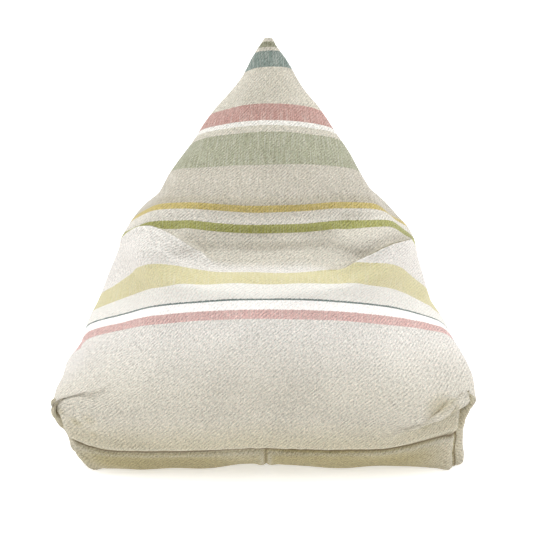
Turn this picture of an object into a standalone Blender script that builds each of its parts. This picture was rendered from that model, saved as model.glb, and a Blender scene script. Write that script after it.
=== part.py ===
"""Pyramid floor pouf: one length of striped cloth sewn into a bag, filled with beads.

The cloth is a tube, sewn flat from side to side low across the front and from front to back over
the tip and down the rear, with two boxed corners at the front. It sits on its base, so the solid
is a loft of level sections, from a flat footprint up to the tip. The front faces -Y.
"""
import math

import bmesh
import bpy

# Driving sizes, in metres
HEIGHT = 0.768            # floor to tip
RING_POINTS = 64          # points round each section
STEPS = 2                 # rings between one row of the table and the next
SEAM_Z = 0.078            # height of the seam across the front
SEAM_DEPTH = 0.004        # how far that seam draws the cloth in
SEAM_HALF_WIDTH = 0.007
CORNER_ANGLE = math.pi / 4  # where a boxed corner's seam ridge is, as an angle round the section
CORNER_SPREAD = 0.15      # half the ridge's width, as the same kind of angle
SIDE_FADE = 0.35          # share of the way from side to front over which seam and folds begin

# Level sections: z, the y of the front and the rear, the half widths to the left and the right,
# the y of the widest place, how square the front and the rear are (2 is an ellipse, 1 a straight
# taper), and how far the boxed corners' seam ridge stands proud.
SECTION_COLUMNS = ("z", "front", "rear", "left", "right", "widest", "square_front", "square_rear", "ridge")
SECTIONS = (
    (0.000, -0.004, 0.865, 0.360, 0.396, 0.050, 4.5, 1.06, 0.000),
    (0.012, -0.026, 0.872, 0.379, 0.412, 0.040, 4.0, 1.12, 0.004),
    (0.040, -0.047, 0.852, 0.396, 0.408, 0.025, 3.4, 1.35, 0.004),
    (0.078, -0.060, 0.825, 0.402, 0.406, 0.020, 3.0, 1.60, 0.000),
    (0.115, -0.066, 0.800, 0.422, 0.412, 0.025, 2.6, 1.64, 0.004),
    (0.155, -0.066, 0.775, 0.438, 0.434, 0.030, 2.1, 1.66, 0.008),
    (0.192, -0.054, 0.750, 0.370, 0.422, 0.070, 1.8, 1.76, 0.004),
    (0.240, -0.034, 0.715, 0.350, 0.362, 0.205, 1.8, 1.84, 0.000),
    (0.290, -0.003, 0.680, 0.334, 0.343, 0.300, 1.8, 1.95, 0.000),
    (0.340, 0.038, 0.643, 0.313, 0.329, 0.330, 1.9, 1.95, 0.000),
    (0.370, 0.060, 0.622, 0.305, 0.320, 0.315, 2.1, 1.90, 0.000),
    (0.400, 0.084, 0.604, 0.288, 0.302, 0.300, 2.3, 1.85, 0.000),
    (0.425, 0.112, 0.588, 0.266, 0.278, 0.290, 2.4, 1.80, 0.000),
    (0.445, 0.168, 0.576, 0.246, 0.256, 0.295, 2.3, 1.75, 0.000),
    (0.465, 0.212, 0.565, 0.228, 0.238, 0.305, 2.3, 1.75, 0.000),
    (0.500, 0.255, 0.545, 0.203, 0.211, 0.345, 2.2, 1.80, 0.000),
    (0.560, 0.320, 0.520, 0.148, 0.162, 0.405, 1.9, 1.80, 0.000),
    (0.620, 0.374, 0.500, 0.097, 0.113, 0.440, 1.8, 1.60, 0.000),
    (0.680, 0.415, 0.484, 0.053, 0.073, 0.456, 2.0, 1.40, 0.000),
    (0.730, 0.442, 0.474, 0.022, 0.044, 0.460, 2.0, 1.40, 0.000),
    (0.758, 0.454, 0.470, 0.002, 0.022, 0.462, 2.0, 1.60, 0.000),
)
TIP = (0.009, 0.462, HEIGHT)

# The seat's hollow, between two lobes at its sides: how far back it is pressed at each height.
HOLLOW_COLUMNS = ("z", "depth")
HOLLOW = (
    (0.372, 0.000),
    (0.383, 0.050),
    (0.390, 0.108),
    (0.400, 0.118),
    (0.425, 0.106),
    (0.445, 0.056),
    (0.465, 0.024),
    (0.490, 0.000),
)
HOLLOW_MIDDLE = 0.010     # x of the hollow's middle
HOLLOW_FLOOR = 0.090      # half its width where it is deepest
HOLLOW_BRIM = 0.270       # half its width at the lobes' crests

# The creases where the back comes down on the lobes: each runs from one place to another on the
# front face, seen square on, and is pressed in by its depth.
FOLD_COLUMNS = ("x_from", "z_from", "x_to", "z_to", "depth", "width")
FOLDS = (
    (-0.330, 0.395, -0.260, 0.428, 0.020, 0.014),
    (-0.260, 0.428, -0.190, 0.440, 0.022, 0.016),
    (0.180, 0.440, 0.255, 0.440, 0.024, 0.014),
    (0.255, 0.440, 0.330, 0.425, 0.022, 0.013),
)


def named(row, columns):
    """A table row as a dictionary."""
    return dict(zip(columns, row))


def hermite(p0, p1, slope0, slope1, span, t):
    """Cubic from p0 to p1 over a span, with the given slopes at its ends."""
    return (
        (1 + 2 * t) * (1 - t) ** 2 * p0
        + t * (1 - t) ** 2 * span * slope0
        + t * t * (3 - 2 * t) * p1
        - t * t * (1 - t) * span * slope1
    )


def slope(rows, k, column):
    """Slope of a column at row k: the secant through its neighbours."""
    low, high = rows[max(k - 1, 0)], rows[min(k + 1, len(rows) - 1)]
    return (high[column] - low[column]) / (high["z"] - low["z"])


def section_at(rows, z):
    """The section at height z, smoothly between the rows of the table."""
    k = max(i for i in range(len(rows) - 1) if rows[i]["z"] <= z)
    lower, upper = rows[k], rows[k + 1]
    span = upper["z"] - lower["z"]
    t = (z - lower["z"]) / span
    return {
        column: hermite(lower[column], upper[column], slope(rows, k, column),
                        slope(rows, k + 1, column), span, t)
        for column in SECTION_COLUMNS
    }


def smooth(t):
    """Rises smoothly from 0 to 1 as t does."""
    t = min(max(t, 0.0), 1.0)
    return t * t * (3 - 2 * t)


def hollow_depth(x, z, rows):
    """How far back the seat's hollow is pressed at a place on the front face."""
    if not rows[0]["z"] < z < rows[-1]["z"]:
        return 0.0
    k = max(i for i in range(len(rows) - 1) if rows[i]["z"] <= z)
    lower, upper = rows[k], rows[k + 1]
    t = (z - lower["z"]) / (upper["z"] - lower["z"])
    depth = lower["depth"] + (upper["depth"] - lower["depth"]) * smooth(t)
    off_middle = abs(x - HOLLOW_MIDDLE)
    return depth * smooth((HOLLOW_BRIM - off_middle) / (HOLLOW_BRIM - HOLLOW_FLOOR))


def ring_heights(rows):
    """Heights of the rings: even steps between the rows, and three that make the front seam."""
    heights = {SEAM_Z - SEAM_HALF_WIDTH, SEAM_Z + SEAM_HALF_WIDTH}
    for lower, upper in zip(rows, rows[1:]):
        for step in range(STEPS):
            heights.add(lower["z"] + (upper["z"] - lower["z"]) * step / STEPS)
    heights.add(rows[-1]["z"])
    return sorted(heights)


def distance_to_fold(x, z, fold):
    """How far a place on the front face, seen square on, lies from a stretch of fold."""
    run_x = fold["x_to"] - fold["x_from"]
    run_z = fold["z_to"] - fold["z_from"]
    along = ((x - fold["x_from"]) * run_x + (z - fold["z_from"]) * run_z) / (run_x ** 2 + run_z ** 2)
    along = min(max(along, 0.0), 1.0)
    return math.hypot(x - fold["x_from"] - along * run_x, z - fold["z_from"] - along * run_z)


def pressed_in(x, z, folds):
    """Depth of the waist fold at a place on the front face."""
    return max(f["depth"] * math.exp(-((distance_to_fold(x, z, f) / f["width"]) ** 2)) for f in folds)


def ridge_at(angle, section):
    """How far a boxed corner's seam ridge stands proud at an angle forward of straight sideways."""
    return section["ridge"] * math.exp(-(((angle - CORNER_ANGLE) / CORNER_SPREAD) ** 2))


def ring(section, folds, hollow):
    """Points round one section, from the right-hand side over the rear, left and front."""
    z = section["z"]
    on_seam = math.isclose(z, SEAM_Z)
    points = []
    for k in range(RING_POINTS):
        angle = 2 * math.pi * k / RING_POINTS
        across, along = math.cos(angle), math.sin(angle)
        at_front = along < 0
        power = 2 / (section["square_front"] if at_front else section["square_rear"])
        half_width = section["right"] if across > 0 else section["left"]
        reach = section["widest"] - section["front"] if at_front else section["rear"] - section["widest"]
        x = half_width * math.copysign(abs(across) ** power, across)
        y = section["widest"] + reach * math.copysign(abs(along) ** power, along)
        if at_front:
            ridge = ridge_at(math.atan2(-along, abs(across)), section)
            depth = SEAM_DEPTH if on_seam else pressed_in(x, z, folds)
            depth *= 1 - math.exp(-((along / SIDE_FADE) ** 2))
            from_middle = math.hypot(x, y - section["widest"])
            shrink = 1 - depth / from_middle
            x = x * shrink + math.copysign(ridge, x)
            y = section["widest"] + (y - section["widest"]) * shrink - ridge / 2
            y += hollow_depth(x, z, hollow)
        points.append((x, y, z))
    return points


def loft(rings, tip):
    """A closed mesh through the rings, flat underneath and closed at the tip."""
    mesh = bmesh.new()
    loops = [[mesh.verts.new(point) for point in points] for points in rings]
    count = len(loops[0])
    mesh.faces.new(reversed(loops[0]))
    for lower, upper in zip(loops, loops[1:]):
        for k in range(count):
            mesh.faces.new((lower[k], lower[(k + 1) % count], upper[(k + 1) % count], upper[k]))
    top = mesh.verts.new(tip)
    for k in range(count):
        mesh.faces.new((loops[-1][k], loops[-1][(k + 1) % count], top))
    return mesh


def centre_on_floor(mesh):
    """Put the origin under the middle of the bag, on the floor."""
    low = [min(v.co[axis] for v in mesh.verts) for axis in range(3)]
    high = [max(v.co[axis] for v in mesh.verts) for axis in range(3)]
    shift = (-(low[0] + high[0]) / 2, -(low[1] + high[1]) / 2, -low[2])
    bmesh.ops.translate(mesh, verts=mesh.verts, vec=shift)


def cloth_material():
    """Unbleached cotton twill, seen from afar."""
    material = bpy.data.materials.new("cotton_twill")
    material.use_nodes = True
    shader = material.node_tree.nodes["Principled BSDF"]
    shader.inputs["Base Color"].default_value = (0.62, 0.57, 0.49, 1.0)
    shader.inputs["Roughness"].default_value = 0.9
    shader.inputs["Metallic"].default_value = 0.0
    return material


def build_cover(collection):
    """The filled bag, as one solid."""
    rows = [named(row, SECTION_COLUMNS) for row in SECTIONS]
    folds = [named(row, FOLD_COLUMNS) for row in FOLDS]
    hollow = [named(row, HOLLOW_COLUMNS) for row in HOLLOW]
    rings = [ring(section_at(rows, z), folds, hollow) for z in ring_heights(rows)]
    mesh = loft(rings, TIP)
    centre_on_floor(mesh)
    data = bpy.data.meshes.new("cover")
    mesh.to_mesh(data)
    mesh.free()
    data.shade_smooth()
    data.materials.append(cloth_material())
    cover = bpy.data.objects.new("cover", data)
    collection.objects.link(cover)


def main():
    for old in list(bpy.data.objects):
        bpy.data.objects.remove(old, do_unlink=True)
    collection = bpy.data.collections.new("pyramid_pouf")
    bpy.context.scene.collection.children.link(collection)
    build_cover(collection)


main()
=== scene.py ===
"""Looks of the pyramid floor pouf.

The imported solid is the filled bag's true shape. Here a length of cloth is laid out as a flat
pattern, sewn into the bag by welding its edges, and relaxed onto that solid by a small cloth
solver, so that its stripes and weave run, bend and gather as they do on the real cover. The
seams, the waist's folds and the boxed corners are part of what the cloth is relaxed onto.
"""
import math

import bpy
import numpy as np
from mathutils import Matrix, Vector
from mathutils.bvhtree import BVHTree


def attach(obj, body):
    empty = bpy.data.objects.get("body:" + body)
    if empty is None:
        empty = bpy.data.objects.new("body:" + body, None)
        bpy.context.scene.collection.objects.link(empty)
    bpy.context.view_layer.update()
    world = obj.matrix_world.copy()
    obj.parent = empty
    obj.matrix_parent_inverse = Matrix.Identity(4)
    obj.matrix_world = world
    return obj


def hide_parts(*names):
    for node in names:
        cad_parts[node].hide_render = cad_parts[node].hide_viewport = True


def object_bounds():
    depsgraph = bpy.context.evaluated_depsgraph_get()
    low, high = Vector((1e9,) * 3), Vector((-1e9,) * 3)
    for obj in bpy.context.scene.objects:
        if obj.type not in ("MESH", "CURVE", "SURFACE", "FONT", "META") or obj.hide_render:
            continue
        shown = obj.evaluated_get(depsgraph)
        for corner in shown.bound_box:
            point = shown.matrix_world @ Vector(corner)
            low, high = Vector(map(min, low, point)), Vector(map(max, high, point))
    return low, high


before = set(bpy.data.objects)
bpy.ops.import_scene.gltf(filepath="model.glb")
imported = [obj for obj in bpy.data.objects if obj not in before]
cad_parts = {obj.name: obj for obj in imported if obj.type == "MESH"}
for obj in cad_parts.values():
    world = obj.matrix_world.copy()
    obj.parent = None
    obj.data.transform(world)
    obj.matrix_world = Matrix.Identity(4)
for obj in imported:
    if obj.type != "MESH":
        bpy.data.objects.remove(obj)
CAD_LOW, CAD_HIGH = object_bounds()

# ---- The cloth, in metres ------------------------------------------------------------------
HALF_ROUND = 0.98       # half the way round the tube of cloth
CLOTH_HEIGHT = 0.985    # front seam to top seam
CORNER_SEAM = 0.20      # each boxed corner's seam, end to end
CLOTH_MASS = 0.7        # kg per square metre
FULL_CELLS = (20, 50, 98)       # cells across half the tube, coarse to fine
SETTLING_STEPS = (600, 400, 200)    # for each size of cell

STEP = 1 / 120          # seconds
LOOK_EVERY = 4          # steps between searches for the nearest place on the filling
STICK = 0.25            # how far each step brings the cloth down onto the filling
GUIDE = 0.7             # the same for the points that are held in place
DAMPING = 0.9
SPEED_LIMIT = 1.0       # metres a second
STRETCH, SHEAR, BEND = 0, 1, 2      # kinds of length that the cloth keeps
GIVE = (1e-7, 2e-6, 3e-4)           # how readily each kind gives way
TINY = 1e-12            # keeps a division away from nought
ON_LINE = 1e-9          # share of a cell by which a point short of a grid line is on it
LEAST_KNOWN = 1e-6      # least share of a place's neighbours that tells where it is
# The cloth round the corner seams' upper ends is smoothed: how much, how far off, how many times
EAR_SMOOTHING, EAR_REACH, EAR_ROUNDS = 0.4, 0.030, 4
# Where the cloth is eased longer, or gathered: at (u, v), over what reach of u and v, by what
# share across and by what share up
EASED = (
    ((0.0, 0.090), (0.40, 0.060), 0.09, 0.00),
    ((0.0, 0.860), (2.00, 0.130), -0.07, 0.00),
    ((-0.40, 0.195), (0.12, 0.080), 0.00, 0.17),
    ((0.38, 0.200), (0.14, 0.080), 0.00, 0.28),
    ((0.36, 0.035), (0.12, 0.045), 0.00, -0.14),
    ((-0.26, 0.360), (0.13, 0.050), 0.00, -0.13),
    ((0.28, 0.360), (0.13, 0.050), 0.00, -0.13),
    ((-0.25, 0.470), (0.11, 0.035), 0.00, -0.18),
    ((0.25, 0.470), (0.11, 0.035), 0.00, -0.14),
    ((-0.20, 0.630), (0.12, 0.060), 0.00, -0.12),
    ((0.22, 0.630), (0.12, 0.060), 0.00, -0.12),
)
# The corners of the folded bag from which the cloth starts
FOLDED_LEFT, FOLDED_RIGHT, FOLDED_TIP = (-0.43, -0.40, 0.09), (0.43, -0.40, 0.09), (0.01, 0.06)
FOLDED_REAR_HEIGHT = 0.01

# The two corner seams, from their upper ends round to their lower: share of the way, x, y, z
CORNER_SEAMS = {
    -1: (
        (0.00, -0.436, -0.384, 0.147), (0.12, -0.422, -0.402, 0.142), (0.22, -0.414, -0.409, 0.130),
        (0.35, -0.408, -0.409, 0.110), (0.50, -0.395, -0.407, 0.074), (0.65, -0.384, -0.412, 0.048),
        (0.80, -0.381, -0.405, 0.030), (1.00, -0.384, -0.396, 0.015),
    ),
    1: (
        (0.00, 0.429, -0.371, 0.178), (0.10, 0.417, -0.386, 0.174), (0.25, 0.4065, -0.408, 0.154),
        (0.40, 0.399, -0.416, 0.123), (0.50, 0.3915, -0.420, 0.092), (0.60, 0.394, -0.419, 0.074),
        (0.75, 0.389, -0.420, 0.046), (0.88, 0.396, -0.412, 0.028), (1.00, 0.403, -0.399, 0.010),
    ),
}
TIP = (0.011, 0.060, 0.754)
# The front seam's height along it: share of the way from the middle to a corner, height
FRONT_SEAM = ((-1.0, 0.074), (-0.87, 0.070), (-0.8, 0.063), (-0.5, 0.070), (-0.3, 0.074),
              (-0.1, 0.083), (0.05, 0.083), (0.2, 0.077), (0.4, 0.075), (0.6, 0.074),
              (0.85, 0.092), (1.0, 0.090))

# ---- Seams, puckers and folds, in metres ---------------------------------------------------
# A straight seam draws the cloth in, and rolls it up a little on both sides
GROOVE_DEPTH, GROOVE_WIDTH = 0.0045, 0.0055
ROLL_HEIGHT, ROLL_AWAY, ROLL_WIDTH = 0.0018, 0.011, 0.007
BASE_SEAM_SHUT = 0.0012  # how much less the seam under the base gapes
# A corner seam stands out as a lip of the front panel over the panel behind, which swells past it
CORNER_GROOVE, CORNER_LIP, CORNER_DEPTH, CORNER_WIDTH = 0.002, 0.003, 0.006, 0.005
CORNER_REACH = 0.1
CORNER_SWELL, SWELL_AWAY, SWELL_WIDTH = 0.007, 0.020, 0.012
# Random waves: seed, how many, the longest and the shortest
PUCKER_WAVES, SLACK_WAVES = (5, 14, 0.045, 0.020), (9, 16, 0.22, 0.09)
PATCH_WAVES = (3, 8, 0.30, 0.12)
PUCKER, PUCKER_REACH, PUCKER_START = 0.0016, 0.016, 0.008
SLACK, SLACK_START = 0.0030, 0.03
# How shaded the front is at heights up the cloth
SHADED = ((0.0, 0.85), (0.03, 0.78), (0.08, 0.46), (0.14, 0.40), (0.20, 0.22), (0.26, 0.03),
          (0.29, 0.0), (0.985, 0.0))
# The strip of the base that shows under the front seam: how high up the cloth and over the floor
# it goes, and how shaded it is, at the seam and more so away from it, less by its ends
STRIP_UP, STRIP_HEIGHT, STRIP_PAST_CORNER = 0.12, 0.1, 0.004
STRIP_SHADE, STRIP_DEEPER, STRIP_DEEPENS, STRIP_PATCHES = 0.90, 0.14, 0.04, 0.12
STRIP_END, STRIP_END_REACH, STRIP_END_LIGHTER = 0.60, 0.05, 0.3
CORNER_SHADE, CORNER_SHADE_REACH = 0.9, 0.024   # behind the corner seams
# Folds over the cloth: their line as (u, v), how deep they sink above it and how far up, and how
# high the lip below it stands and how far down
CREASES = (
    (((0.105, 0.412), (0.147, 0.419), (0.180, 0.439), (0.211, 0.459), (0.245, 0.480),
      (0.269, 0.492), (0.310, 0.515), (0.345, 0.535)), 0.018, 0.030, 0.008, 0.014),
    (((-0.345, 0.535), (-0.280, 0.535), (-0.225, 0.530), (-0.171, 0.500), (-0.123, 0.479),
      (-0.089, 0.432)), 0.011, 0.030, 0.006, 0.018),
    (((-0.245, 0.480), (-0.198, 0.456), (-0.140, 0.432)), 0.005, 0.012, 0.003, 0.016),
    (((0.290, 0.476), (0.330, 0.455), (0.370, 0.428)), 0.003, 0.008, 0.001, 0.010),
    (((-0.014, 0.700), (-0.020, 0.780), (-0.012, 0.850)), 0.003, 0.010, 0.002, 0.010),
    (((0.120, 0.680), (0.128, 0.730), (0.122, 0.780)), 0.003, 0.010, 0.002, 0.010),
    (((-0.085, 0.640), (-0.075, 0.720), (-0.080, 0.770)), 0.002, 0.012, 0.001, 0.010),
    (((0.150, 0.600), (0.120, 0.640), (0.100, 0.690)), 0.002, 0.012, 0.001, 0.010),
)
# Where the back comes down on the seat: (u, v), and how dark the fold's painted shadow is there
BACK = ((-0.345, 0.540, 0.3), (-0.225, 0.530, 0.85), (-0.191, 0.511, 0.62), (-0.155, 0.490, 0.45),
        (-0.123, 0.479, 0.35), (-0.097, 0.452, 0.15), (-0.060, 0.438, 0.0), (0.060, 0.436, 0.0),
        (0.105, 0.424, 0.1), (0.147, 0.419, 0.6), (0.180, 0.439, 1.0), (0.225, 0.466, 1.0),
        (0.269, 0.492, 0.95), (0.345, 0.535, 0.6))
# The back is shaded from there up to a height on the cloth, less above a lower one. Where no fold
# shuts on the seat, the shade comes in over a longer way.
BACK_SHADE, BACK_TOP, BACK_FADE, BACK_FARTHEST = 0.39, 0.62, 0.02, 0.1
FOLDS_TOP, FOLDS_START = 0.6, 0.05      # height and share of the way where the dark folds end
BACK_EDGE, BACK_SOFTER, BACK_SHARPENS = 0.008, 0.025, 5
BACK_LIGHTER, BACK_LIGHTER_FROM = 0.3, 0.53
WALL = 0.006            # how far a fold takes from its lip to its bottom
LIP_STEEPER = 1.5       # how much sooner its lip ends on that side
FOLD_STARTS, FOLD_ENDS = 0.25, 0.3      # shares of its length over which it comes and goes
# Hollows: u, v, depth, reach and shade
DENTS = (
    (-0.380, 0.074, 0.003, 0.018, 0.85),
    (-0.352, 0.056, 0.005, 0.022, 0.95),
    (-0.320, 0.036, 0.004, 0.022, 0.90),
    (-0.322, 0.072, 0.001, 0.030, 0.72),
    (0.325, 0.115, 0.003, 0.042, 1.00),
    (0.345, 0.130, 0.000, 0.050, 0.45),
    (0.355, 0.055, 0.004, 0.045, 1.00),
    (0.310, 0.040, 0.002, 0.035, 0.90),
    (-0.150, 0.090, 0.003, 0.060, 0.15),
    (0.040, 0.140, 0.004, 0.070, 0.13),
    (0.180, 0.080, 0.003, 0.050, 0.15),
    (-0.230, 0.200, 0.003, 0.060, 0.10),
)
# Where the filling lies a little off the solid: place, shift, and reach across, back and up
LUMPS = (
    ((-0.358, -0.210, 0.225), (-0.018, 0.000, 0.000), (0.050, 0.090, 0.055)),
    ((-0.400, -0.130, 0.158), (0.012, 0.000, 0.000), (0.050, 0.080, 0.030)),
    ((-0.380, -0.255, 0.202), (-0.014, -0.008, 0.006), (0.030, 0.055, 0.022)),
    ((-0.418, -0.290, 0.160), (0.011, 0.000, 0.000), (0.040, 0.045, 0.022)),
    ((0.085, 0.050, 0.655), (-0.007, 0.000, 0.000), (0.040, 0.080, 0.065)),
    ((-0.185, -0.020, 0.525), (-0.006, 0.000, 0.000), (0.050, 0.090, 0.050)),
    ((0.410, -0.190, 0.165), (-0.012, 0.000, 0.000), (0.070, 0.080, 0.050)),
    ((0.300, -0.060, 0.405), (-0.010, 0.000, 0.000), (0.050, 0.060, 0.040)),
    ((0.425, -0.375, 0.135), (-0.011, 0.000, 0.000), (0.035, 0.035, 0.035)),
    ((-0.062, 0.055, 0.680), (0.008, 0.000, 0.000), (0.030, 0.060, 0.090)),
    ((0.400, -0.392, 0.005), (-0.003, -0.012, -0.008), (0.060, 0.050, 0.030)),
    ((-0.375, -0.395, 0.005), (0.020, -0.012, -0.004), (0.050, 0.050, 0.025)),
    ((-0.250, -0.430, 0.000), (0.000, -0.014, 0.000), (0.110, 0.050, 0.030)),
    ((0.000, -0.440, 0.000), (0.000, 0.010, 0.004), (0.070, 0.050, 0.025)),
)
# The seat's level part is pressed down: u, v, depth, and reach across and up
SEAT = (0.0, 0.445, 0.016, 0.130, 0.042)

# ---- The stripes ---------------------------------------------------------------------------
# Yarn colours, as linear reflectance. The bands over the back, from about 0.59 up the cloth, have
# the back's painted shade in their yarn colours.
YARNS = {
    "natural": (0.700, 0.685, 0.652),
    # the natural yarn, darkened as painted shade for the lower back
    "natural_deep_shade": (0.500, 0.472, 0.402),
    # the natural yarn, darkened as painted shade for the upper back
    "natural_shade": (0.560, 0.536, 0.456),
    "pale": (0.770, 0.765, 0.725),
    "white": (0.985, 0.985, 0.975),
    "rose": (0.610, 0.405, 0.385),
    # the rose yarn, darkened as painted shade for the back
    "rose_in_shade": (0.453, 0.270, 0.238),
    "slate": (0.130, 0.180, 0.170),
    "yellow": (0.605, 0.567, 0.335),
    "olive": (0.352, 0.365, 0.115),
    "gold": (0.535, 0.440, 0.152),
    "sage": (0.340, 0.350, 0.250),
    "teal": (0.187, 0.243, 0.220),
    "grey": (0.240, 0.245, 0.165),
}
WARM_TINT, COOL_TINT = (1.05, 0.975, 0.955), (0.975, 1.005, 1.0)
SHADE_TINT = (0.65, 0.61, 0.45)
FOLD_SHADOW_TINT = (0.34, 0.31, 0.185)
# painted shade on the base strip under the front and on the cloth behind the corner seams
STRIP_SHADE_TINT = (0.50, 0.45, 0.265)
# the seam line's colour: stitch thread, and painted shadow in the seam's groove
SEAM_COLOUR = (0.16, 0.12, 0.07)
# colour of the painted highlight on the rolled cloth beside the seams
ROLL_HIGHLIGHT_COLOUR = (0.80, 0.78, 0.72)
RIB_SPACING = 0.0058    # metres from rib to rib of the twill
RIB_WANDER, WANDER_GRAIN = 3.0, (70, 70)
# Parts of the weave: whether they follow the ribs, how fine they are across and up, and detail
GRAIN = {
    "dash": (True, 260, 95, 2.0),
    "fleck": (False, 420, 420, 2.0),
    "warp": (False, 480, 22, 1.0),
    "weft": (False, 60, 800, 1.0),
    "blotch": (False, 9, 14, 3.0),
}
# How strongly each part changes the cloth's brightness, its relief and the edges of its bands
TONE = {"rib": 0.20, "dash": 0.95, "fleck": 1.00, "warp": 0.15, "weft": 0.12, "blotch": 0.20}
RELIEF = {"rib": 0.4, "dash": 0.9, "fleck": 0.6, "warp": 0.15}
RAGGED = {"dash": 0.0016, "warp": 0.0012}
CALM, CALM_STARTS, CALM_ENDS = 0.55, (0.300, 0.310), (0.415, 0.455)     # evener pale bands
HUE_GRAIN, HUE_CONTRAST = (230, 300), 1.6
WARP_SHOWS, WARP_STREAKS, WARP_MOST = 0.07, 0.85, 0.6   # undyed threads over the dyed bands
# The folds' painted shadow, a dark wedge above their edge: its share, where it starts to fade
# and ends, and how soft the edge is
WEDGES = ((0.45, 0.0005, 0.006, 0.0010), (0.55, 0.001, 0.022, 0.0012))
SEAM_SHADOW, SEAM_SHADOW_REACH = 0.5, 0.012
# The dark line along each seam, stitch thread and painted shadow in its groove: where it starts to
# fade and ends, and how dark it is
SEAM_LINE, SEAM_DARK = (0.0006, 0.0034), 0.80
STITCH, STITCH_DARKER = 0.0032, 0.10    # metres from stitch to stitch
# The painted highlight beside the seams: where it rises and falls off from the seam, its share, and
# how much the weave's flecks change it
ROLL_HIGHLIGHT_STARTS, ROLL_HIGHLIGHT_ENDS, ROLL_HIGHLIGHT_SHARE, ROLL_HIGHLIGHT_FLECKS = (0.003, 0.007), (0.007, 0.016), 0.16, 0.6
BUMP = {"Strength": 0.7, "Distance": 0.0016}
ROUGHNESS, ROUGHNESS_FLECKS = 0.88, 0.15
FINISH = {"Sheen Weight": 0.12, "Sheen Roughness": 0.5, "Specular IOR Level": 0.2}
# Bands up the cloth: the height above the front seam at which each one starts, to the half
# centimetre but for the two thinnest, and its yarn
BANDS = (
    (0.000, "natural"),
    (0.285, "rose"),
    (0.305, "white"),
    (0.325, "slate"),
    (0.329, "pale"),
    (0.370, "yellow"),
    (0.425, "natural"),
    (0.530, "olive"),
    (0.550, "natural"),
    (0.575, "gold"),
    (0.590, "natural_deep_shade"),
    (0.685, "sage"),
    (0.765, "natural_shade"),
    # the white stripe over the back, given the pale yarn's colour as painted shade
    (0.780, "pale"),
    (0.790, "rose_in_shade"),
    (0.830, "natural_shade"),
    (0.910, "teal"),
    (0.945, "natural_shade"),
    (0.952, "grey"),
    (0.965, "natural_shade"),
)

# ---- The studio ----------------------------------------------------------------------------
FLOOR_SIZE, FLOOR_ROUGHNESS, FLOOR_GLOW = 200, 0.9, 0.50
FLOOR_COLOUR = (0.97, 0.97, 0.97, 1)
SKY_COLOUR = (1.0, 0.99, 0.96, 1)
SKY_STRENGTH, SKY_POWER = 1.95, 2.0     # straight up, and how fast it dims lower down
HORIZON, HORIZON_STRENGTH = 0.03, 1.05  # a bright rim past the floor's edge
# Lamps: name, place, what it is turned to, size, watts and colour
LAMPS = (
    ("left_side", (-3.0, 0.3, 1.4), (0, 0, 0.3), 1.5, 25, (0.95, 0.95, 1.0)),
    ("right_side", (3.0, 0.3, 1.4), (0, 0, 0.3), 1.5, 25, (0.95, 0.95, 1.0)),
    ("top", (0, 0.3, 3.2), (0, -0.1, 0.3), 1.0, 20, (0.86, 0.94, 1)),
)
CAMERA_PLACE, CAMERA_AIM = (0, -2.924, 1.783), (0.0076, -0.088, 0.301)
CAMERA_LENS, CAMERA_SENSOR = 99.83, 36


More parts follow.
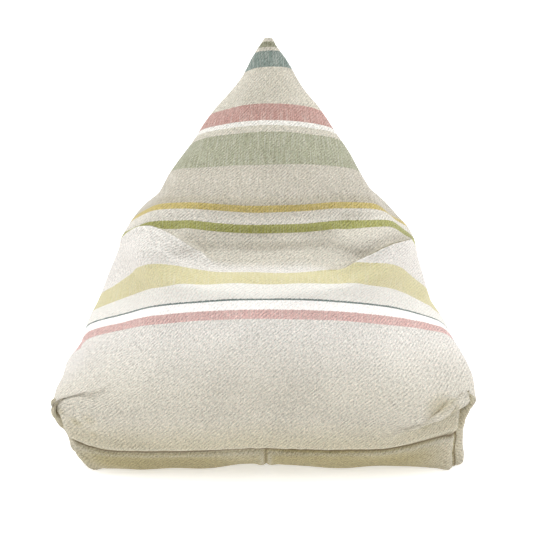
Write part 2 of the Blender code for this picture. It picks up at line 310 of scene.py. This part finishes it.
# ============================================================================================
# The sewn pattern
# ============================================================================================
class Pattern:
    """A grid of cloth cells, u across from the front's middle and v up from the front seam."""

    def __init__(self, half_cells):
        self.half = half_cells
        self.du = HALF_ROUND / half_cells
        self.box = round(CORNER_SEAM / 2 / self.du)
        self.rows = round(CLOTH_HEIGHT / self.du)
        self.dv = CLOTH_HEIGHT / self.rows
        self.columns = 2 * half_cells
        column, row = np.indices((self.columns + 1, self.rows + 1))
        self.u = (column.ravel() - half_cells) * self.du
        self.v = row.ravel() * self.dv
        self.cells = self._cells()
        self._weld()
        self._constraints()

    def point(self, column, row):
        """Number of a pattern point."""
        return column * (self.rows + 1) + row

    def _cells(self):
        """All cells but those cut away at the two front corners."""
        cells = []
        for column in range(self.columns):
            from_corner = abs(abs(column + 0.5 - self.half) - self.half / 2)
            for row in range(self.rows):
                if row >= self.box or from_corner > self.box:
                    cells.append((column, row))
        return cells

    def _seams(self):
        """Pairs of pattern points that are sewn together."""
        for row in range(self.rows + 1):
            yield self.point(0, row), self.point(self.columns, row)
        for step in range(self.half + 1):
            yield self.point(self.half + step, self.rows), self.point(self.half - step, self.rows)
        for side in (1, -1):
            corner = self.half + side * self.half // 2
            for step in range(self.box, self.half // 2 + 1):
                behind = (corner + side * step) % self.columns
                yield self.point(corner - side * step, 0), self.point(behind, 0)
            for step in range(self.box + 1):
                low = self.box - step
                yield (self.point(corner - side * self.box, low),
                       self.point(corner - side * (self.box - step), self.box))
                yield (self.point(corner + side * self.box, low),
                       self.point(corner + side * (self.box - step), self.box))

    def _weld(self):
        """Gives every sewn set of pattern points one vertex."""
        owner = list(range(len(self.u)))

        def find(point):
            while owner[point] != point:
                owner[point] = owner[owner[point]]
                point = owner[point]
            return point

        for one, other in self._seams():
            one, other = sorted((find(one), find(other)))
            owner[other] = one
        self.quads_flat = np.array([
            [self.point(c, r), self.point(c + 1, r), self.point(c + 1, r + 1), self.point(c, r + 1)]
            for c, r in self.cells
        ])
        root = np.array([find(point) for point in range(len(self.u))])
        used = np.unique(root[self.quads_flat])
        number = np.full(len(self.u), -1)
        number[used] = np.arange(len(used))
        self.vertex = number[root]
        self.count = len(used)
        self.quads = self.vertex[self.quads_flat]

    def _constraints(self):
        """Lengths that the cloth keeps, in groups that share no vertex."""
        lengths = {}

        def keep(one, other, length, kind):
            one, other = self.vertex[one], self.vertex[other]
            if one < 0 or other < 0 or one == other:
                return
            key = (min(one, other), max(one, other), kind)
            known = lengths.get(key, length)
            lengths[key] = min(known, length) if kind == BEND else (known + length) / 2

        def size(column, row):
            """Width and height of the cloth at a cell."""
            across, up = 1.0, 1.0
            for (u, v), (reach_u, reach_v), wider, longer in EASED:
                off_u = ((column + 0.5 - self.half) * self.du - u) / reach_u
                near = math.exp(-off_u ** 4 - (((row + 0.5) * self.dv - v) / reach_v) ** 2)
                across += wider * near
                up += longer * near
            return self.du * across, self.dv * up

        present = set(self.cells)
        for column, row in self.cells:
            low_left, low_right = self.point(column, row), self.point(column + 1, row)
            top_left, top_right = low_left + 1, low_right + 1
            wide, tall = size(column, row)
            keep(low_left, low_right, wide, STRETCH)
            keep(top_left, top_right, wide, STRETCH)
            keep(low_left, top_left, tall, STRETCH)
            keep(low_right, top_right, tall, STRETCH)
            keep(low_left, top_right, math.hypot(wide, tall), SHEAR)
            keep(low_right, top_left, math.hypot(wide, tall), SHEAR)
            beyond = (column + 1) % self.columns
            if (beyond, row) in present:
                keep(low_left, self.point(beyond + 1, row), 2 * wide, BEND)
                keep(top_left, self.point(beyond + 1, row + 1), 2 * wide, BEND)
            if (column, row + 1) in present:
                keep(low_left, low_left + 2, 2 * tall, BEND)
                keep(low_right, low_right + 2, 2 * tall, BEND)
        self.groups = self._apart(np.array(list(lengths)), np.array(list(lengths.values())))

    def _apart(self, keys, rest):
        """The lengths in groups, each kept by vertices that no other in the group moves."""
        taken = [0] * self.count
        group = np.zeros(len(rest), int)
        for k in np.argsort(keys[:, 2], kind="stable"):
            one, other = keys[k, 0], keys[k, 1]
            used = taken[one] | taken[other]
            colour = 0
            while (used >> colour) & 1:
                colour += 1
            group[k] = colour
            taken[one] |= 1 << colour
            taken[other] |= 1 << colour
        members = [group == colour for colour in range(group.max() + 1)]
        return [(keys[own, 0], keys[own, 1], rest[own], keys[own, 2]) for own in members]

    def gather(self, values):
        """Mean of per-pattern-point values at each vertex."""
        good = self.vertex >= 0
        total = np.zeros((self.count,) + values.shape[1:])
        np.add.at(total, self.vertex[good], values[good])
        number = np.bincount(self.vertex[good], minlength=self.count)
        return total / number.reshape((-1,) + (1,) * (values.ndim - 1))

    def sample(self, places, u, v):
        """Places on this pattern at other (u, v), and how much of each is known."""
        grid = np.zeros((self.columns + 1, self.rows + 1, 3))
        known = (self.vertex >= 0).reshape(grid.shape[:2])
        grid[known] = places[self.vertex[self.vertex >= 0]]
        across, up = (u + HALF_ROUND) / self.du, v / self.dv
        column = np.clip((across + ON_LINE).astype(int), 0, self.columns - 1)
        row = np.clip((up + ON_LINE).astype(int), 0, self.rows - 1)
        across, up = across - column, up - row
        total, weight = np.zeros((len(u), 3)), np.zeros(len(u))
        for step_c, share_c in ((0, 1 - across), (1, across)):
            for step_r, share_r in ((0, 1 - up), (1, up)):
                share = share_c * share_r * known[column + step_c, row + step_r]
                total += grid[column + step_c, row + step_r] * share[:, None]
                weight += share
        return total, weight

    def refined(self, places, finer):
        """The same shape on a finer pattern."""
        total, weight = self.sample(places, finer.u, finer.v)
        good = (weight > LEAST_KNOWN) & (finer.vertex >= 0)
        gathered = np.zeros((finer.count, 3))
        np.add.at(gathered, finer.vertex[good], total[good] / weight[good, None])
        number = np.bincount(finer.vertex[good], minlength=finer.count)
        return gathered / np.maximum(number, 1)[:, None]


def folded_flat(pattern):
    """The bag as a flat-sided pyramid with its four corners near those of the filling."""
    left, right = np.array(FOLDED_LEFT), np.array(FOLDED_RIGHT)
    rear = np.array(((CAD_LOW.x + CAD_HIGH.x) / 2, CAD_HIGH.y, FOLDED_REAR_HEIGHT))
    tip = np.array(FOLDED_TIP + (CAD_HIGH.z,))
    round_share = np.abs(pattern.u) / HALF_ROUND
    up = (pattern.v / CLOTH_HEIGHT)[:, None]
    side = np.where(pattern.u < 0, -1, 1) * np.minimum(round_share, 1 - round_share)
    low = (left + right) / 2 + side[:, None] * (right - left)
    high = tip + (rear - tip) * round_share[:, None]
    return pattern.gather(low * (1 - up) + high * up)


# ============================================================================================
# The cloth solver
# ============================================================================================
def filling_surface(node):
    """Search tree over the CAD solid's surface."""
    return BVHTree.FromObject(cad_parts[node], bpy.context.evaluated_depsgraph_get())


def nearest(surface, places):
    """Nearest points on the surface, and its normals there."""
    points, normals = np.empty_like(places), np.empty_like(places)
    for k, place in enumerate(places):
        point, normal, _, _ = surface.find_nearest(place)
        points[k], normals[k] = point, normal
    return points, normals


def corner_guides(pattern):
    """Vertices along the corner seams and at the tip, and where they belong."""
    vertices, places = [pattern.vertex[pattern.point(pattern.half, pattern.rows)]], [TIP]
    for side, path in CORNER_SEAMS.items():
        corner = pattern.half + side * pattern.half // 2
        path = np.array(path)
        for step in range(2 * pattern.box + 1):
            column = corner + side * pattern.box * (-1 if step <= pattern.box else 1)
            vertices.append(pattern.vertex[pattern.point(column, abs(pattern.box - step))])
            share = step / (2 * pattern.box)
            places.append([np.interp(share, path[:, 0], path[:, k]) for k in (1, 2, 3)])
    return np.array(vertices), np.array(places)


def rear_seam_guides(pattern):
    """Vertices along the rear seam, and the sideways places at which they belong."""
    on_seam = np.where(np.isclose(pattern.v, CLOTH_HEIGHT) & (pattern.u >= 0))[0]
    share = pattern.u[on_seam] / HALF_ROUND
    return pattern.vertex[on_seam], TIP[0] * (1 - share)


def front_seam_guides(pattern):
    """Vertices along the front seam, and the heights at which they belong."""
    half_width = (HALF_ROUND - CORNER_SEAM) / 2
    on_seam = np.where((pattern.v == 0) & (np.abs(pattern.u) < half_width + pattern.du / 2))[0]
    share, height = np.array(FRONT_SEAM).T
    return pattern.vertex[on_seam], np.interp(pattern.u[on_seam] / half_width, share, height)


def relax(pattern, places, surface, steps, inset):
    """Lets the cloth slide and settle on the filling, drawn in by inset at each vertex."""
    mass = CLOTH_MASS * pattern.du * pattern.dv
    give = np.array(GIVE) / STEP ** 2
    groups = [(a, b, rest, give[kind], kind == BEND) for a, b, rest, kind in pattern.groups]
    held, held_at = corner_guides(pattern)
    levelled, level = front_seam_guides(pattern)
    centred, centre = rear_seam_guides(pattern)
    speed = np.zeros_like(places)
    for step in range(steps):
        before = places
        places = places + speed * DAMPING * STEP
        if step % LOOK_EVERY == 0:
            points, normals = nearest(surface, places)
        height = ((places - points) * normals).sum(1) + inset
        places = places - normals * (height * np.where(height < 0, 1.0, STICK))[:, None]
        for one, other, rest, soft, bend in groups if step % 2 == 0 else groups[::-1]:
            apart = places[one] - places[other]
            length = np.sqrt((apart * apart).sum(1)) + TINY
            excess = length - rest
            excess = np.where(bend & (excess > 0), 0, excess)
            move = apart * (-excess / ((2 / mass + soft) * mass * length))[:, None]
            places[one] += move
            places[other] -= move
        places[held] += (held_at - places[held]) * GUIDE
        places[levelled, 2] += (level - places[levelled, 2]) * GUIDE
        places[centred, 0] += (centre - places[centred, 0]) * GUIDE / 2
        places[:, 2] = np.maximum(places[:, 2], 0)
        speed = (places - before) / STEP
        pace = np.sqrt((speed * speed).sum(1))
        speed *= np.minimum(1, SPEED_LIMIT / np.maximum(pace, TINY))[:, None]
    return places


def smoothed_ears(pattern, places):
    """The cloth with the crumples round the corner seams' upper ends pressed out."""
    one, other = pattern.quads.ravel(), np.roll(pattern.quads, 1, axis=1).ravel()
    ears = np.array([path[0][1:] for path in CORNER_SEAMS.values()])
    away = np.linalg.norm(places[:, None] - ears[None], axis=2).min(1)
    share = (EAR_SMOOTHING * np.exp(-(away / EAR_REACH) ** 4))[:, None]
    share[corner_guides(pattern)[0]] = 0
    for _ in range(EAR_ROUNDS):
        total, number = np.zeros_like(places), np.zeros(pattern.count)
        for here, there in ((one, other), (other, one)):
            np.add.at(total, here, places[there])
            np.add.at(number, here, 1)
        places = places + (total / number[:, None] - places) * share
    return places


def sewn_cover():
    """The cloth on the filling, as a pattern and its vertices' places."""
    surface = filling_surface("cover")
    cells = FULL_CELLS
    pattern, places = None, None
    for half_cells, steps in zip(cells, SETTLING_STEPS):
        finer = Pattern(half_cells)
        places = folded_flat(finer) if pattern is None else pattern.refined(places, finer)
        pattern = finer
        u0, v0, depth, across, up = SEAT
        dip = depth * np.exp(-(((pattern.u - u0) / across) ** 4) - ((pattern.v - v0) / up) ** 2)
        places = relax(pattern, places, surface, steps, pattern.gather(dip[:, None])[:, 0])
    return pattern, smoothed_ears(pattern, places)


# ============================================================================================
# Materials
# ============================================================================================
def add_node(tree, kind, values=(), **settings):
    """A shader node with its settings, and its inputs set or linked."""
    node = tree.nodes.new("ShaderNode" + kind)
    for name, value in settings.items():
        setattr(node, name, value)
    for socket, value in dict(values).items():
        target = node.inputs[socket]
        if isinstance(value, bpy.types.NodeSocket):
            tree.links.new(value, target)
        else:
            target.default_value = value
    return node


def maths(tree, operation, *values):
    """Output of a Math node."""
    return add_node(tree, "Math", dict(enumerate(values)), operation=operation).outputs[0]


def scaled(tree, across, along, scale_across, scale_along):
    """A vector from two coordinates, each with its own scale."""
    x = maths(tree, "MULTIPLY", across, scale_across)
    y = maths(tree, "MULTIPLY", along, scale_along)
    return add_node(tree, "CombineXYZ", {"X": x, "Y": y}).outputs[0]


def noise(tree, vector, detail=1.0):
    """Noise from about -0.5 to 0.5 over a scaled vector."""
    node = add_node(tree, "TexNoise", {"Vector": vector, "Scale": 1.0, "Detail": detail},
                    noise_dimensions="2D")
    return maths(tree, "SUBTRACT", node.outputs["Fac"], 0.5)


def blend(tree, factor, one, other, how="MIX"):
    """Mix of two colours."""
    node = add_node(tree, "Mix", data_type="RGBA", blend_type=how)
    sockets = node.inputs["Factor"], node.inputs[6], node.inputs[7]
    for socket, value in zip(sockets, (factor, one, other)):
        if isinstance(value, bpy.types.NodeSocket):
            tree.links.new(value, socket)
        else:
            socket.default_value = value
    return node.outputs[2]


def multiplied(tree, factor, colour, tint):
    """The colour, multiplied by a tint as far as the factor says."""
    return blend(tree, factor, colour, blend(tree, 1.0, colour, tint, "MULTIPLY"))


def clamped(tree, value, most=1.0):
    """The value, kept between 0 and the most."""
    return add_node(tree, "Clamp", {"Value": value, "Min": 0.0, "Max": most}).outputs[0]


def attribute(tree, name):
    """A value that the mesh carries at its vertices."""
    return add_node(tree, "Attribute", attribute_name=name).outputs["Fac"]


def faded(tree, value, start, end):
    """1 where the value is at or below start, falling smoothly to 0 at end."""
    values = {"Value": value, "From Min": start, "From Max": end, "To Min": 1.0, "To Max": 0.0}
    return add_node(tree, "MapRange", values, interpolation_type="SMOOTHSTEP").outputs["Result"]


def between(tree, value, starts, ends):
    """1 where the value lies between two soft edges, each given from where to where it runs."""
    return maths(tree, "SUBTRACT", faded(tree, value, *ends), faded(tree, value, *starts))


def striped_colour(tree, v):
    """Colour of the yarn in the band at height v on the cloth."""
    share = maths(tree, "DIVIDE", v, CLOTH_HEIGHT)
    node = add_node(tree, "ValToRGB", {"Fac": share})
    ramp = node.color_ramp
    ramp.interpolation = "CONSTANT"
    ramp.elements.remove(ramp.elements[1])
    for start, yarn in BANDS:
        stop = ramp.elements[0] if start == 0 else ramp.elements.new(start / CLOTH_HEIGHT)
        stop.color = YARNS[yarn] + (1,)
    return node.outputs["Color"]


def weave(tree, u, v):
    """The twill's ribs, flecks and threads, each from about -0.5 to 0.5."""
    over = maths(tree, "SUBTRACT", u, v)
    along = maths(tree, "ADD", u, v)
    wander = noise(tree, scaled(tree, u, v, *WANDER_GRAIN))
    phase = maths(tree, "MULTIPLY_ADD", over, 2 * math.pi / (RIB_SPACING * math.sqrt(2)),
                  maths(tree, "MULTIPLY", wander, RIB_WANDER))
    parts = {"rib": maths(tree, "MULTIPLY", maths(tree, "SINE", phase), 0.5)}
    for name, (on_ribs, fine_across, fine_up, detail) in GRAIN.items():
        first, second = (over, along) if on_ribs else (u, v)
        parts[name] = noise(tree, scaled(tree, first, second, fine_across, fine_up), detail)
    return parts


def weighted(tree, parts, weights, start):
    """Start plus each part times its weight."""
    total = start
    for name, weight in weights.items():
        total = maths(tree, "MULTIPLY_ADD", parts[name], weight, total)
    return total


def dyed(tree, parts, u, v):
    """Colour of the clean flat cloth: its bands, with the weave's colours and brightness."""
    yarn = striped_colour(tree, weighted(tree, parts, RAGGED, v))
    show = maths(tree, "MULTIPLY_ADD", parts["warp"], WARP_STREAKS, WARP_SHOWS)
    show = clamped(tree, show, WARP_MOST)
    colour = blend(tree, show, yarn, YARNS["natural"] + (1,))
    hue = noise(tree, scaled(tree, u, v, *HUE_GRAIN))
    hue = clamped(tree, maths(tree, "MULTIPLY_ADD", hue, HUE_CONTRAST, 0.5))
    tint = blend(tree, hue, WARM_TINT + (1,), COOL_TINT + (1,))
    colour = blend(tree, 1.0, colour, tint, "MULTIPLY")
    calm = between(tree, v, CALM_STARTS, CALM_ENDS)
    strong = maths(tree, "MULTIPLY_ADD", calm, -CALM, 1.0)
    tone = maths(tree, "MULTIPLY_ADD", weighted(tree, parts, TONE, 0.0), strong, 1.0)
    tone = add_node(tree, "CombineXYZ", {"X": tone, "Y": tone, "Z": tone}).outputs[0]
    return blend(tree, 1.0, colour, tone, "MULTIPLY")


def shaded(tree, colour):
    """The colour with the shade of the bag's form, of its base strip and of its folds."""
    colour = multiplied(tree, attribute(tree, "shade"), colour, SHADE_TINT + (1,))
    colour = multiplied(tree, attribute(tree, "strip"), colour, STRIP_SHADE_TINT + (1,))
    fold = attribute(tree, "fold")
    # painted shadow: a dark wedge above each fold's edge
    fold_shadow = 0.0
    for share, start, end, soft in WEDGES:
        part = between(tree, fold, (-soft, soft), (start, end))
        fold_shadow = maths(tree, "MULTIPLY_ADD", part, share, fold_shadow)
    fold_shadow = maths(tree, "MULTIPLY", attribute(tree, "dark"), fold_shadow)
    return multiplied(tree, fold_shadow, colour, FOLD_SHADOW_TINT + (1,))


def stitched(tree, colour, parts, u, v):
    """The colour with the seams' painted shadow, their dark line of stitches, partly painted shadow
    in the groove, and a painted highlight on the rolls beside them.
    """
    seam = attribute(tree, "seam")
    near_seam = maths(tree, "MULTIPLY", faded(tree, seam, 0.0, SEAM_SHADOW_REACH), SEAM_SHADOW)
    colour = multiplied(tree, near_seam, colour, SHADE_TINT + (1,))
    # the seam's dark line: stitches, and painted shadow in its groove
    along = maths(tree, "MULTIPLY", maths(tree, "ADD", u, v), 2 * math.pi / STITCH)
    dark = maths(tree, "MULTIPLY_ADD", maths(tree, "SINE", along), STITCH_DARKER, SEAM_DARK)
    in_seam = maths(tree, "MULTIPLY", faded(tree, seam, *SEAM_LINE), dark)
    colour = blend(tree, in_seam, colour, SEAM_COLOUR + (1,))
    # painted highlight where the rolls beside the seams catch the light, flecked by the weave
    flecked = maths(tree, "MULTIPLY_ADD", parts["fleck"], ROLL_HIGHLIGHT_FLECKS, ROLL_HIGHLIGHT_SHARE)
    roll_highlight = maths(tree, "MULTIPLY", between(tree, seam, ROLL_HIGHLIGHT_STARTS, ROLL_HIGHLIGHT_ENDS), flecked)
    return blend(tree, clamped(tree, roll_highlight), colour, ROLL_HIGHLIGHT_COLOUR + (1,))


def cotton_material():
    """Striped cotton twill."""
    material = bpy.data.materials.new("cotton_twill")
    material.use_nodes = True
    tree = material.node_tree
    shader = tree.nodes["Principled BSDF"]
    cloth = add_node(tree, "UVMap", uv_map="cloth").outputs["UV"]
    split = add_node(tree, "SeparateXYZ", {0: cloth})
    u, v = split.outputs["X"], split.outputs["Y"]
    parts = weave(tree, u, v)
    colour = stitched(tree, shaded(tree, dyed(tree, parts, u, v)), parts, u, v)
    tree.links.new(colour, shader.inputs["Base Color"])
    bump = add_node(tree, "Bump", {"Height": weighted(tree, parts, RELIEF, 0.0)} | BUMP)
    tree.links.new(bump.outputs["Normal"], shader.inputs["Normal"])
    roughness = maths(tree, "MULTIPLY_ADD", parts["fleck"], ROUGHNESS_FLECKS, ROUGHNESS)
    tree.links.new(roughness, shader.inputs["Roughness"])
    for socket, value in FINISH.items():
        shader.inputs[socket].default_value = value
    return material


# ============================================================================================
# The piece
# ============================================================================================
def seam_distances(u, v):
    """Distances over the cloth to the straight and the corner seams, and if it is before them."""
    round_share = np.abs(u)
    to_base_seam = HALF_ROUND - round_share + BASE_SEAM_SHUT
    straight = np.minimum(np.minimum(v, CLOTH_HEIGHT - v), to_base_seam)
    half_box = CORNER_SEAM / 2
    beside = np.abs(round_share - HALF_ROUND / 2)
    corner = np.hypot(np.maximum(beside - half_box, 0), np.maximum(v - half_box, 0))
    level = np.where(beside < half_box, v - half_box, np.inf)
    in_front = round_share < HALF_ROUND / 2 - half_box
    return straight, np.minimum(corner, np.maximum(level, 0)), in_front


def along_line(u, v, line):
    """Distance from a bent line on the cloth, positive above it, and the share of the way along."""
    best, signed, share = np.full(len(u), np.inf), np.zeros(len(u)), np.zeros(len(u))
    line = np.array(line)
    spans = np.hypot(*(line[1:] - line[:-1]).T)
    done = 0.0
    for (u0, v0), (u1, v1), span in zip(line[:-1], line[1:], spans):
        across, up = (u1 - u0) / span, (v1 - v0) / span
        reach = np.clip((u - u0) * across + (v - v0) * up, 0, span)
        off_u, off_v = u - u0 - reach * across, v - v0 - reach * up
        distance = np.hypot(off_u, off_v)
        side = np.sign(across * off_v - up * off_u)
        closer = distance < best
        best = np.where(closer, distance, best)
        signed = np.where(closer, distance * side, signed)
        share = np.where(closer, (done + reach) / spans.sum(), share)
        done += span
    return signed, share


def ease(t):
    """Rises smoothly from 0 to 1 as t does."""
    t = np.clip(t, 0, 1)
    return t * t * (3 - 2 * t)


def creased(u, v):
    """How far the folds raise each place."""
    height = np.zeros(len(u))
    for line, depth, reach, lip, lip_reach in CREASES:
        signed, share = along_line(u, v, line)
        strength = ease(share / FOLD_STARTS) * ease((1 - share) / FOLD_ENDS)
        above, below = np.maximum(signed, 0), np.maximum(-signed, 0)
        sunk = (1 - np.exp(-(above / WALL) ** 2)) * np.exp(-(above / reach) ** 1.5)
        raised = np.exp(-(np.where(signed > 0, above * LIP_STEEPER / WALL, below / lip_reach)) ** 2)
        height += strength * (lip * raised - depth * sunk)
    return height


def foot_of_back(u, v):
    """Distance above the foot of the back, and how dark the fold's painted shadow there is."""
    line = np.array(BACK)
    signed, share = along_line(u, v, line[:, :2])
    spans = np.hypot(*(line[1:, :2] - line[:-1, :2]).T)
    shares = np.concatenate([[0], np.cumsum(spans)]) / spans.sum()
    dark = np.interp(share, shares, line[:, 2]) * ease(share / FOLDS_START)
    return np.clip(signed, -BACK_FARTHEST, BACK_FARTHEST), np.where(v < FOLDS_TOP, dark, 0)


def waves(places, seed, number, longest, shortest):
    """A smooth random field over space, between about -1 and 1."""
    random = np.random.default_rng(seed)
    total = np.zeros(len(places))
    for _ in range(number):
        direction = random.normal(size=3)
        direction /= np.linalg.norm(direction)
        length = math.exp(random.uniform(math.log(shortest), math.log(longest)))
        phase = random.uniform(0, 2 * math.pi)
        total += np.sin(places @ direction * 2 * math.pi / length + phase)
    return total / math.sqrt(number)


def shifted(places):
    """The places, moved with the lumps of filling under them."""
    moved = places.copy()
    for middle, shift, reach in LUMPS:
        off = (places - np.array(middle)) / np.array(reach)
        moved += np.exp(-(off ** 2).sum(1))[:, None] * np.array(shift)
    return moved


def relief(places, u, v):
    """Height of the seams, puckers, folds and hollows at each vertex."""
    straight, corner, in_front = seam_distances(u, v)
    seam = np.minimum(straight, corner)
    height = -GROOVE_DEPTH * np.exp(-(straight / GROOVE_WIDTH) ** 2)
    height += ROLL_HEIGHT * np.exp(-((straight - ROLL_AWAY) / ROLL_WIDTH) ** 2)
    beside = corner / CORNER_WIDTH * np.exp(1 - corner / CORNER_WIDTH)
    beside = np.where(corner < CORNER_REACH, beside, 0)
    height += np.where(in_front, CORNER_LIP, -CORNER_DEPTH) * beside
    swell = CORNER_SWELL * np.exp(-((corner - SWELL_AWAY) / SWELL_WIDTH) ** 2)
    height += np.where(in_front, 0, swell)
    height -= CORNER_GROOVE * np.exp(-(corner / CORNER_WIDTH) ** 2)
    height += (PUCKER * waves(places, *PUCKER_WAVES) * np.exp(-seam / PUCKER_REACH)
               * ease(seam / PUCKER_START))
    height += SLACK * waves(places, *SLACK_WAVES) * ease(seam / SLACK_START)
    height += creased(u, v)
    for u0, v0, depth, reach, _ in DENTS:
        height -= depth * np.exp(-((u - u0) ** 2 + (v - v0) ** 2) / reach ** 2)
    return height


def back_shade(u, v, fold, dark):
    """How shaded the back is above the seat."""
    soft = BACK_EDGE + BACK_SOFTER * np.clip(1 - dark * BACK_SHARPENS, 0, 1)
    shade = BACK_SHADE * ease(fold / soft) * ease((BACK_TOP - v) / BACK_FADE)
    return shade * (1 - BACK_LIGHTER * ease((v - BACK_LIGHTER_FROM) / BACK_FADE))


def strip_shade(places, u, v):
    """How shaded the strip of the base under the front is, and the cloth behind the corners."""
    straight, corner, in_front = seam_distances(u, v)
    round_share = np.abs(u)
    past_corner = round_share > (HALF_ROUND + CORNER_SEAM) / 2 - STRIP_PAST_CORNER
    strip = past_corner & (v < STRIP_UP) & (places[:, 2] < STRIP_HEIGHT)
    shade = STRIP_SHADE + STRIP_DEEPER * ease(straight / STRIP_DEEPENS)
    shade += STRIP_PATCHES * waves(places, *PATCH_WAVES)
    shade *= 1 - STRIP_END_LIGHTER * np.exp(-((round_share - STRIP_END) / STRIP_END_REACH) ** 2)
    behind = np.where(in_front, 0, CORNER_SHADE * np.exp(-(corner / CORNER_SHADE_REACH) ** 2))
    return np.maximum(np.where(strip, shade, 0), behind)


def looks(places, u, v):
    """What the material reads at each vertex: its shades, and how far off the seams are."""
    straight, corner, _ = seam_distances(u, v)
    fold, dark = foot_of_back(u, v)
    on_front = np.abs(u) < HALF_ROUND / 2
    shade = back_shade(u, v, fold, dark) * on_front
    # the hollows' last column is their painted shade
    for u0, v0, _, reach, depth in DENTS:
        shade = np.maximum(shade, depth * np.exp(-((u - u0) ** 2 + (v - v0) ** 2) / reach ** 2))
    # painted shade on the front, by height up the cloth
    heights, shade_amounts = np.array(SHADED).T
    shade = np.maximum(shade, np.interp(v, heights, shade_amounts) * on_front)
    strip = strip_shade(places, u, v)
    seam = np.minimum(straight, corner)
    return {"shade": shade, "seam": seam, "strip": strip, "fold": fold, "dark": dark}


def coarse_cloth(pattern, places):
    """The sewn cloth as an object, with the pattern's own coordinates as its UV map."""
    data = bpy.data.meshes.new("pouf_cloth")
    data.from_pydata(places.tolist(), [], pattern.quads.tolist())
    layer = data.uv_layers.new(name="cloth")
    corners = pattern.quads_flat.ravel()
    flat = np.stack([pattern.u[corners], pattern.v[corners]], 1)
    layer.uv.foreach_set("vector", flat.astype(np.float32).ravel())
    data.validate()
    coarse = bpy.data.objects.new("pouf_cloth", data)
    bpy.context.scene.collection.objects.link(coarse)
    return coarse


def subdivided(coarse):
    """The object's mesh with each face cut in four and rounded; the object is removed."""
    finer = coarse.modifiers.new("finer", "SUBSURF")
    finer.levels = finer.render_levels = 1
    evaluated = coarse.evaluated_get(bpy.context.evaluated_depsgraph_get())
    fine = bpy.data.meshes.new_from_object(evaluated)
    bpy.data.objects.remove(coarse)
    return fine


def read(items, name, width, kind=np.float32):
    """A property of all of a mesh's items, as an array with a row for each."""
    values = np.empty(len(items) * width, kind)
    items.foreach_get(name, values)
    return values.reshape(-1, width)


def cover_object(pattern, places):
    """The cover: the sewn cloth subdivided, with its seams, folds, slack and looks."""
    fine = subdivided(coarse_cloth(pattern, places))
    fine.name = "pouf_cover"
    spots = read(fine.vertices, "co", 3)
    normals = read(fine.vertex_normals, "vector", 3)
    owner = read(fine.loops, "vertex_index", 1, int)[:, 0]
    flat = read(fine.uv_layers["cloth"].uv, "vector", 2)
    u, v = np.zeros(len(spots)), np.zeros(len(spots))
    u[owner], v[owner] = flat[:, 0], flat[:, 1]
    carried = looks(spots, u, v)
    spots = shifted(spots + normals * relief(spots, u, v)[:, None])
    spots[:, 2] = np.maximum(spots[:, 2], 0)
    fine.vertices.foreach_set("co", spots.astype(np.float32).ravel())
    for name, values in carried.items():
        layer = fine.attributes.new(name, "FLOAT", "POINT")
        layer.data.foreach_set("value", values.astype(np.float32))
    bake = fine.uv_layers.new(name="OFBake")
    packed = np.stack([flat[:, 0] / (2 * HALF_ROUND) + 0.5, flat[:, 1] / CLOTH_HEIGHT], 1)
    bake.uv.foreach_set("vector", packed.astype(np.float32).ravel())
    fine.shade_smooth()
    fine.update()
    cover = bpy.data.objects.new("pouf_cover", fine)
    bpy.context.scene.collection.objects.link(cover)
    fine.materials.append(cotton_material())
    return cover


# ============================================================================================
# Stage, light and camera
# ============================================================================================
def make_stage():
    """A plain pale floor that reaches far past the bag."""
    bpy.ops.mesh.primitive_plane_add(size=FLOOR_SIZE)
    floor = bpy.context.object
    floor.name = "floor"
    material = bpy.data.materials.new("floor_paint")
    material.use_nodes = True
    shader = material.node_tree.nodes["Principled BSDF"]
    shader.inputs["Base Color"].default_value = FLOOR_COLOUR
    shader.inputs["Roughness"].default_value = FLOOR_ROUGHNESS
    shader.inputs["Emission Color"].default_value = (1, 1, 1, 1)
    shader.inputs["Emission Strength"].default_value = FLOOR_GLOW
    floor.data.materials.append(material)


def turned(place, aim):
    """Rotation that turns a lamp or camera at a place to what it is aimed at."""
    return (Vector(aim) - Vector(place)).to_track_quat("-Z", "Y").to_euler()


def make_lamp(name, place, aim, size, power, colour):
    """A round soft lamp."""
    data = bpy.data.lights.new(name, "AREA")
    data.shape = "DISK"
    data.size, data.energy, data.color = size, power, colour
    lamp = bpy.data.objects.new(name, data)
    bpy.context.scene.collection.objects.link(lamp)
    lamp.location = place
    lamp.rotation_euler = turned(place, aim)


def make_sky():
    """Soft light from above, brightest straight up, with a bright rim at the horizon."""
    world = bpy.data.worlds.new("studio")
    world.use_nodes = True
    tree = world.node_tree
    background = tree.nodes["Background"]
    way = add_node(tree, "TexCoord").outputs["Generated"]
    level = add_node(tree, "SeparateXYZ", {0: way}).outputs["Z"]
    up = maths(tree, "MAXIMUM", level, 0.0)
    above = maths(tree, "MULTIPLY", maths(tree, "POWER", up, SKY_POWER), SKY_STRENGTH)
    rim = maths(tree, "LESS_THAN", maths(tree, "ABSOLUTE", level), HORIZON)
    strength = maths(tree, "MULTIPLY_ADD", rim, HORIZON_STRENGTH, above)
    tree.links.new(strength, background.inputs["Strength"])
    background.inputs["Color"].default_value = SKY_COLOUR
    bpy.context.scene.world = world


def make_lights():
    """The sky and the lamps."""
    make_sky()
    for lamp in LAMPS:
        make_lamp(*lamp)


def make_camera():
    """A camera before the bag, a little above it."""
    data = bpy.data.cameras.new("camera")
    data.sensor_width = CAMERA_SENSOR
    data.lens = CAMERA_LENS
    camera = bpy.data.objects.new("camera", data)
    bpy.context.scene.collection.objects.link(camera)
    camera.location = CAMERA_PLACE
    camera.rotation_euler = turned(CAMERA_PLACE, CAMERA_AIM)
    bpy.context.scene.camera = camera


make_camera()
make_lights()
make_stage()
cover = cover_object(*sewn_cover())
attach(cover, "root")
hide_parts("cover")
bpy.context.scene.view_settings.view_transform = "Standard"
